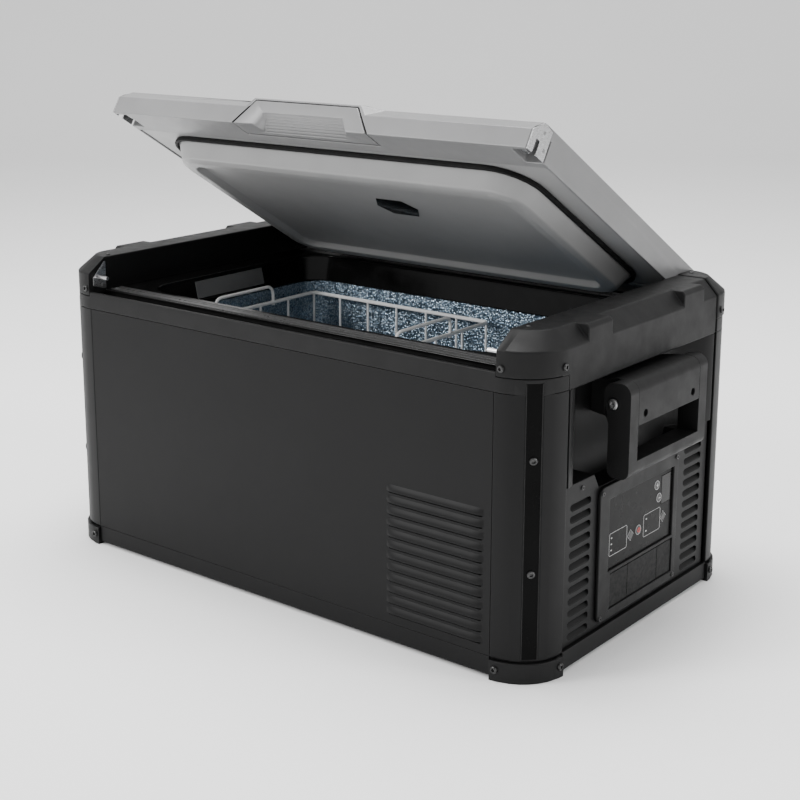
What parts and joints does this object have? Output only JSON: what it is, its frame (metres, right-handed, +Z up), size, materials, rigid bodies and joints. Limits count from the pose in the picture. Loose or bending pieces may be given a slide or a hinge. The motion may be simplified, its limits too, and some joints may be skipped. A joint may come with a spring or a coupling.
{
  "type": "compressor cooler fridge",
  "caption": "Portable chest cooler fridge with a hinged insulated lid, carry handles, a control panel, a metal-lined tub with a wire basket and cooling machinery inside.",
  "frame": {"origin": "centre of the footprint, on the surface that the feet stand on", "axes": "+X along the long side towards the end with the control panel, +Y from the front (latch side) to the rear (hinge side), +Z up; the lid is stored part open"},
  "size_m": [0.766, 0.431, 0.5721],
  "materials": {
    "body_black": "satin dark charcoal powder coat",
    "trim_black": "fine-textured dark charcoal plastic",
    "gloss_black": "glossy black plastic",
    "liner_aluminium": "stucco-embossed sheet, bluish in shade",
    "foam": "rigid insulation foam",
    "steel": "plain zinc-plated or stainless steel",
    "copper": "drawn copper pipe",
    "machine_black": "black enamel",
    "board_green": "printed circuit board",
    "button_grey": "grey soft-touch keys",
    "rubber": "soft black rubber",
    "basket_white": "white-coated steel wire",
    "lid_silver": "satin silver-grey",
    "plug_grey": "smooth light grey",
    "seal_black": "soft black seal"
  },
  "bodies": {
    "body": {"base_tray": "body_black", "collar": "gloss_black", "compressor": "machine_black", "compressor_base": "steel", "condenser": "machine_black", "control_bezel": "trim_black", "control_board": "board_green", "control_face": "gloss_black", "display_window": "gloss_black", "end_cap_left": "trim_black", "end_cap_right": "trim_black", "end_panel_left": "body_black", "end_panel_right": "body_black", "evaporator_coil": "copper", "fan_frame": "trim_black", "foam_body": "foam", "foot_front_left": "trim_black", "foot_front_right": "trim_black", "foot_rear_left": "trim_black", "foot_rear_right": "trim_black", "front_panel": "body_black", "handle_block_left": "trim_black", "handle_block_right": "trim_black", "hinge_cover_left": "trim_black", "hinge_cover_right": "trim_black", "hinge_pin_left": "steel", "hinge_pin_right": "steel", "inner_plate": "steel", "post_front_left": "body_black", "post_front_right": "body_black", "post_rear_left": "body_black", "post_rear_right": "body_black", "power_supply": "trim_black", "rear_panel": "body_black", "socket_block": "trim_black", "striker_left": "steel", "striker_right": "steel", "top_rail_front": "trim_black", "top_rail_rear": "trim_black", "tub_liner": "liner_aluminium"},
    "lid": {"lid_shell": "lid_silver", "lid_inner": "plug_grey", "lid_gasket": "seal_black", "lid_corner_right": "steel", "lid_corner_left": "steel"},
    "latch": {"latch_paddle": "lid_silver"},
    "hook_right": {"latch_hook_right": "steel"},
    "hook_left": {"latch_hook_left": "steel"},
    "handle_right": {"carry_handle_right": "trim_black"},
    "handle_left": {"carry_handle_left": "trim_black"},
    "key_up": {"button_up": "button_grey"},
    "key_down": {"button_down": "button_grey"},
    "key_mode": {"button_mode": "button_grey"},
    "key_battery": {"button_battery": "button_grey"},
    "key_power": {"button_power": "button_grey"},
    "dc_flap": {"flap_dc": "rubber"},
    "ac_flap": {"flap_ac": "rubber"},
    "usb_flap": {"flap_usb": "rubber"},
    "fan": {"fan_rotor": "trim_black"},
    "basket_body": {"basket": "basket_white"}
  },
  "joints": [
    {"name": "lid_hinge", "type": "hinge", "parent": "body", "child": "lid", "pos_m": [0, 0.19, 0.3522], "axis": [-1, 0, 0], "range_deg": [-31.2, 58.8]},
    {"name": "latch_pull", "type": "hinge", "parent": "lid", "child": "latch", "pos_m": [0, -0.1481, 0.56608], "axis": [-1, 0, 0], "range_deg": [0, 16], "stiffness_Nm_per_rad": 0.5},
    {"name": "hook_right_swing", "type": "hinge", "parent": "lid", "child": "hook_right", "pos_m": [0.289, -0.12949, 0.54663], "axis": [1, 0, 0], "range_deg": [0, 18]},
    {"name": "hook_left_swing", "type": "hinge", "parent": "lid", "child": "hook_left", "pos_m": [-0.289, -0.12949, 0.54663], "axis": [1, 0, 0], "range_deg": [0, 18]},
    {"name": "handle_right_swing", "type": "hinge", "parent": "body", "child": "handle_right", "pos_m": [0.363, 0, 0.277], "axis": [0, -1, 0], "range_deg": [0, 95]},
    {"name": "handle_left_swing", "type": "hinge", "parent": "body", "child": "handle_left", "pos_m": [-0.363, 0, 0.277], "axis": [0, 1, 0], "range_deg": [0, 95]},
    {"name": "key_up_press", "type": "slide", "parent": "body", "child": "key_up", "axis": [-1, 0, 0], "range_m": [0, 0.0006], "stiffness_N_per_m": 200},
    {"name": "key_down_press", "type": "slide", "parent": "body", "child": "key_down", "axis": [-1, 0, 0], "range_m": [0, 0.0006], "stiffness_N_per_m": 200},
    {"name": "key_mode_press", "type": "slide", "parent": "body", "child": "key_mode", "axis": [-1, 0, 0], "range_m": [0, 0.0006], "stiffness_N_per_m": 200},
    {"name": "key_battery_press", "type": "slide", "parent": "body", "child": "key_battery", "axis": [-1, 0, 0], "range_m": [0, 0.0006], "stiffness_N_per_m": 200},
    {"name": "key_power_press", "type": "slide", "parent": "body", "child": "key_power", "axis": [-1, 0, 0], "range_m": [0, 0.0006], "stiffness_N_per_m": 200},
    {"name": "dc_flap_swing", "type": "hinge", "parent": "body", "child": "dc_flap", "pos_m": [0.352, -0.0455, 0.079], "axis": [0, -1, 0], "range_deg": [0, 100]},
    {"name": "ac_flap_swing", "type": "hinge", "parent": "body", "child": "ac_flap", "pos_m": [0.352, 0.00675, 0.079], "axis": [0, -1, 0], "range_deg": [0, 100]},
    {"name": "usb_flap_swing", "type": "hinge", "parent": "body", "child": "usb_flap", "pos_m": [0.352, 0.0555, 0.079], "axis": [0, -1, 0], "range_deg": [0, 100]},
    {"name": "fan_spin", "type": "hinge", "parent": "body", "child": "fan", "pos_m": [0.227, -0.195, 0.079], "axis": [0, 1, 0], "continuous": true},
    {"name": "basket_lift", "type": "slide", "parent": "body", "child": "basket_body", "axis": [0, 0, 1], "range_m": [0, 0.05]}
  ],
  "couplings": [
    {"joint": "hook_right_swing", "follows": "latch_pull", "ratio": 1},
    {"joint": "hook_left_swing", "follows": "latch_pull", "ratio": 1}
  ]
}
